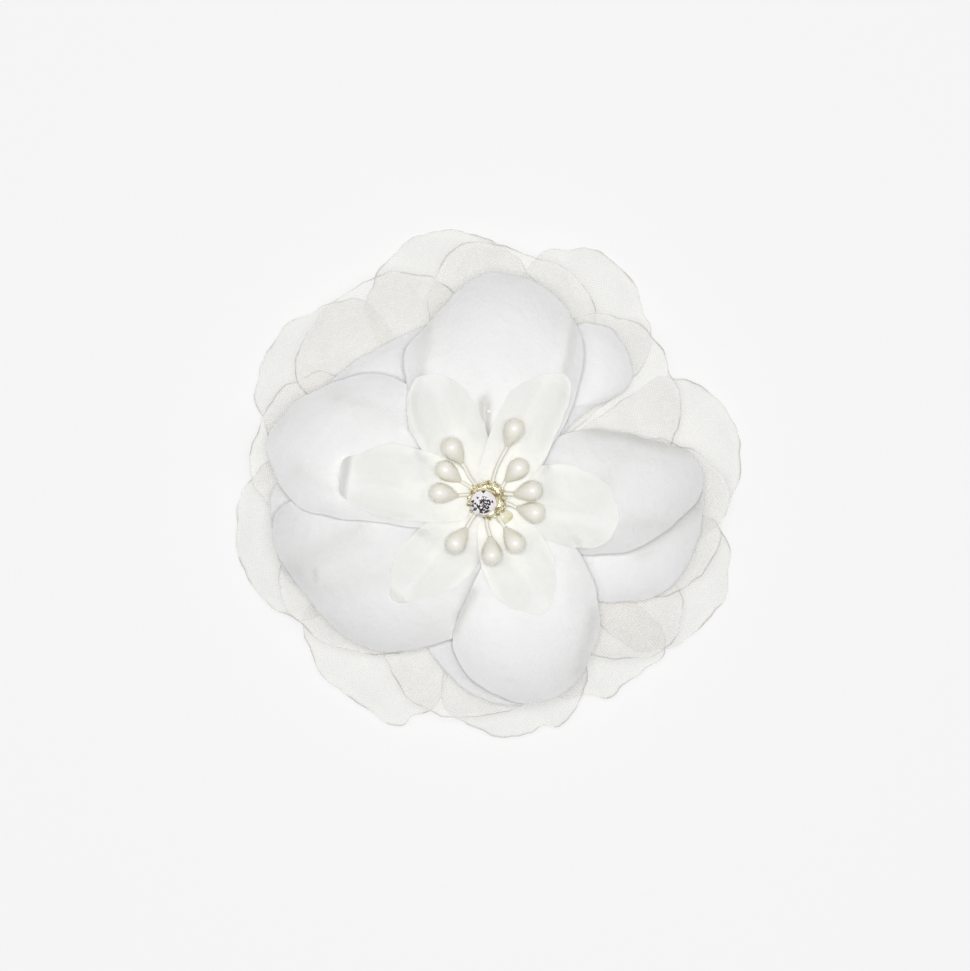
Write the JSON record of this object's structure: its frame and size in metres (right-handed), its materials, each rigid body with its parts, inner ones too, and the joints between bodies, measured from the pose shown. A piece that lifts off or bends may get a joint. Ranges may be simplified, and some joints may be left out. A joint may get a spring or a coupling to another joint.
{
  "type": "flower hair clip",
  "caption": "Fabric flower of layered organza, white and ivory petals with pearl stamens and a crystal centre, on a sprung toothed alligator clip.",
  "frame": {"origin": "the middle of the flower's plan outline, on the surface that the clip and the lowest petals lie on", "axes": "+Z out of the flower's face, +X along the clip from its finger end to its tip"},
  "size_m": [0.0996, 0.1001, 0.0294],
  "materials": {
    "organza": "matte",
    "white_satin": "matte",
    "ivory_cloth": "matte",
    "felt": "matte",
    "pearl": "gloss",
    "crystal": "polished",
    "gilt": "satin",
    "glue": "satin",
    "clip_steel": "gloss",
    "spring_steel": "satin"
  },
  "bodies": {
    "flower": {"clip_upper_jaw": "clip_steel", "clip_hinge_pin": "clip_steel", "clip_torsion_spring": "spring_steel", "glue_pad": "glue", "felt_backing_disc": "felt", "petal_core": "glue", "organza_back_petal_1": "organza", "organza_back_petal_2": "organza", "organza_back_petal_3": "organza", "organza_back_petal_4": "organza", "organza_back_petal_5": "organza", "organza_back_petal_6": "organza", "organza_back_petal_7": "organza", "organza_back_petal_8": "organza", "organza_back_petal_9": "organza", "organza_front_petal_1": "organza", "organza_front_petal_2": "organza", "organza_front_petal_3": "organza", "organza_front_petal_4": "organza", "organza_front_petal_5": "organza", "organza_front_petal_6": "organza", "organza_front_petal_7": "organza", "organza_front_petal_8": "organza", "white_lower_petal_1": "white_satin", "white_lower_petal_2": "white_satin", "white_lower_petal_3": "white_satin", "white_lower_petal_4": "white_satin", "white_lower_petal_5": "white_satin", "white_upper_petal_1": "white_satin", "white_upper_petal_2": "white_satin", "white_upper_petal_3": "white_satin", "white_upper_petal_4": "white_satin", "white_upper_petal_5": "white_satin", "ivory_inner_petal_1": "ivory_cloth", "ivory_inner_petal_2": "ivory_cloth", "ivory_inner_petal_3": "ivory_cloth", "ivory_inner_petal_4": "ivory_cloth", "ivory_inner_petal_5": "ivory_cloth", "ivory_inner_petal_6": "ivory_cloth", "pearl_stamen_1": "pearl", "pearl_stamen_2": "pearl", "pearl_stamen_3": "pearl", "pearl_stamen_4": "pearl", "pearl_stamen_5": "pearl", "pearl_stamen_6": "pearl", "pearl_stamen_7": "pearl", "pearl_stamen_8": "pearl", "pearl_stamen_9": "pearl", "pearl_stamen_10": "pearl", "crystal": "crystal", "gilt_cup": "gilt"},
    "lower_jaw": {"clip_lower_jaw": "clip_steel"}
  },
  "joints": [
    {"name": "jaw_hinge", "type": "hinge", "parent": "flower", "child": "lower_jaw", "pos_m": [-0.0083, -0.0033, 0.00743], "axis": [0, 1, 0], "range_deg": [0, 28], "stiffness_Nm_per_rad": 0.1, "deforming": ["clip_torsion_spring"]}
  ]
}
